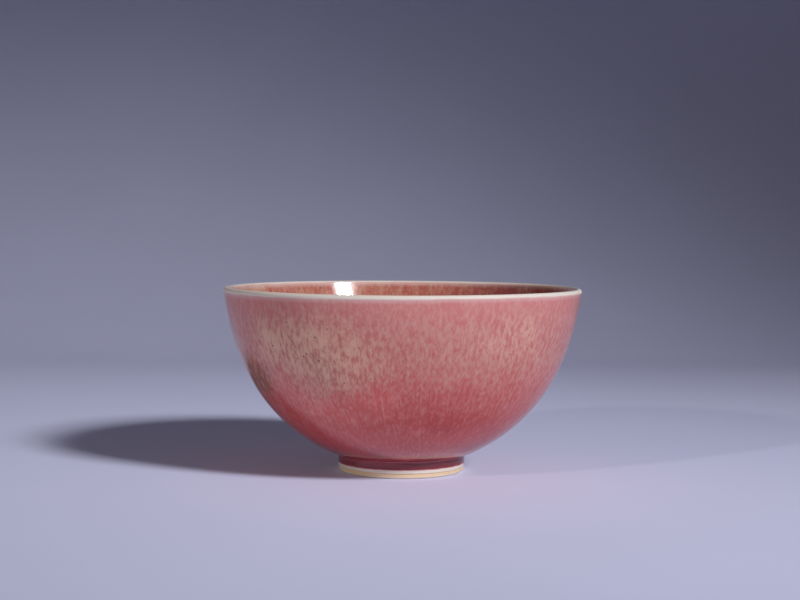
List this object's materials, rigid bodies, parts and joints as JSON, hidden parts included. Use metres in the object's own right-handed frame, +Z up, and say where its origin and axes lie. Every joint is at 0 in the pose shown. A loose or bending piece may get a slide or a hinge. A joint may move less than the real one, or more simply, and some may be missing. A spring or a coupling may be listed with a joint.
{
  "type": "peachbloom bowl",
  "caption": "Round footed porcelain bowl with a rounded white lip, a smooth flaring wall and a mottled copper-red glaze inside and out; holds food, tea or water and stands on its foot ring.",
  "frame": {"origin": "centre of the foot ring's resting face", "axes": "+Z up along the bowl's axis of turning, +X and +Y level"},
  "size_m": [0.12, 0.12, 0.0617],
  "materials": {
    "porcelain": "bare fired porcelain, turned and wiped smooth, buff along the foot edge",
    "peachbloom_outside": "glossy copper-red glaze, rose pink with cream streaks, darker where it has gathered at the foot",
    "peachbloom_inside": "glossy copper-red glaze, warm orange-red with green-brown specks",
    "clear_lip": "thin colourless glaze, off-white over the clay",
    "clear_foot": "thin colourless glaze, greyish white over the clay",
    "clear_base": "clear glaze, white with a faint green-grey cast"
  },
  "bodies": {
    "root": {"porcelain_body": "porcelain", "outer_glaze": "peachbloom_outside", "inner_glaze": "peachbloom_inside", "rim_glaze": "clear_lip", "foot_glaze": "clear_foot", "base_glaze": "clear_base"}
  },
  "joints": []
}
